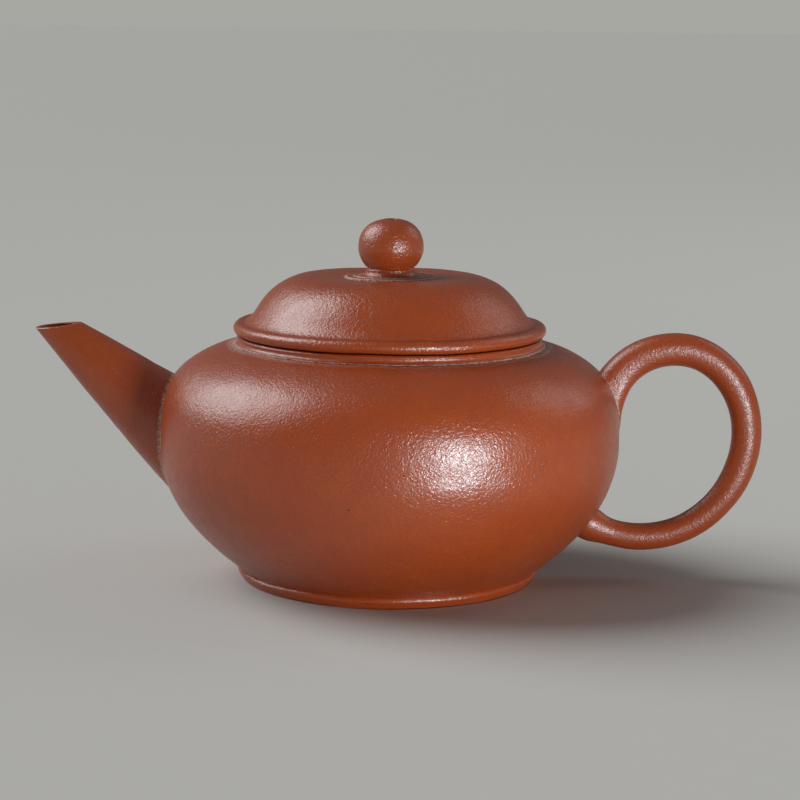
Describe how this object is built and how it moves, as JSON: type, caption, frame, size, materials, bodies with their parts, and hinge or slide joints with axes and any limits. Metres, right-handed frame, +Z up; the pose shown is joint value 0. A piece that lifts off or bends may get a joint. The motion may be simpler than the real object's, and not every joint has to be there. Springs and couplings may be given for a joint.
{
  "type": "clay teapot",
  "caption": "Small round unglazed red clay teapot: squat belly on a foot ring, straight cone spout, ear handle and a lift-off domed lid with a ball knob.",
  "frame": {"origin": "on the table, at the middle of the whole teapot's length and width", "axes": "+X from the spout to the handle, +Z up; the lid lifts along +Z"},
  "size_m": [0.1202, 0.076, 0.0596],
  "materials": {
    "burnished_clay": "unglazed red clay, burnished to a satin skin",
    "plain_clay": "unglazed red clay, matt, as shaped"
  },
  "bodies": {
    "pot": {"body_wall": "burnished_clay", "base_disc": "plain_clay", "shoulder_disc": "burnished_clay", "foot_ring": "burnished_clay", "neck_ring": "burnished_clay", "spout": "burnished_clay", "strainer_dome": "plain_clay", "handle": "burnished_clay"},
    "lid": {"lid_plate": "burnished_clay", "lid_rim_bead": "burnished_clay", "lid_dome": "burnished_clay", "lid_flange": "plain_clay", "knob_seat": "burnished_clay", "knob": "burnished_clay"}
  },
  "joints": [
    {"name": "lid_lift", "type": "slide", "parent": "pot", "child": "lid", "axis": [0, 0, 1], "range_m": [0, 0.045]}
  ]
}
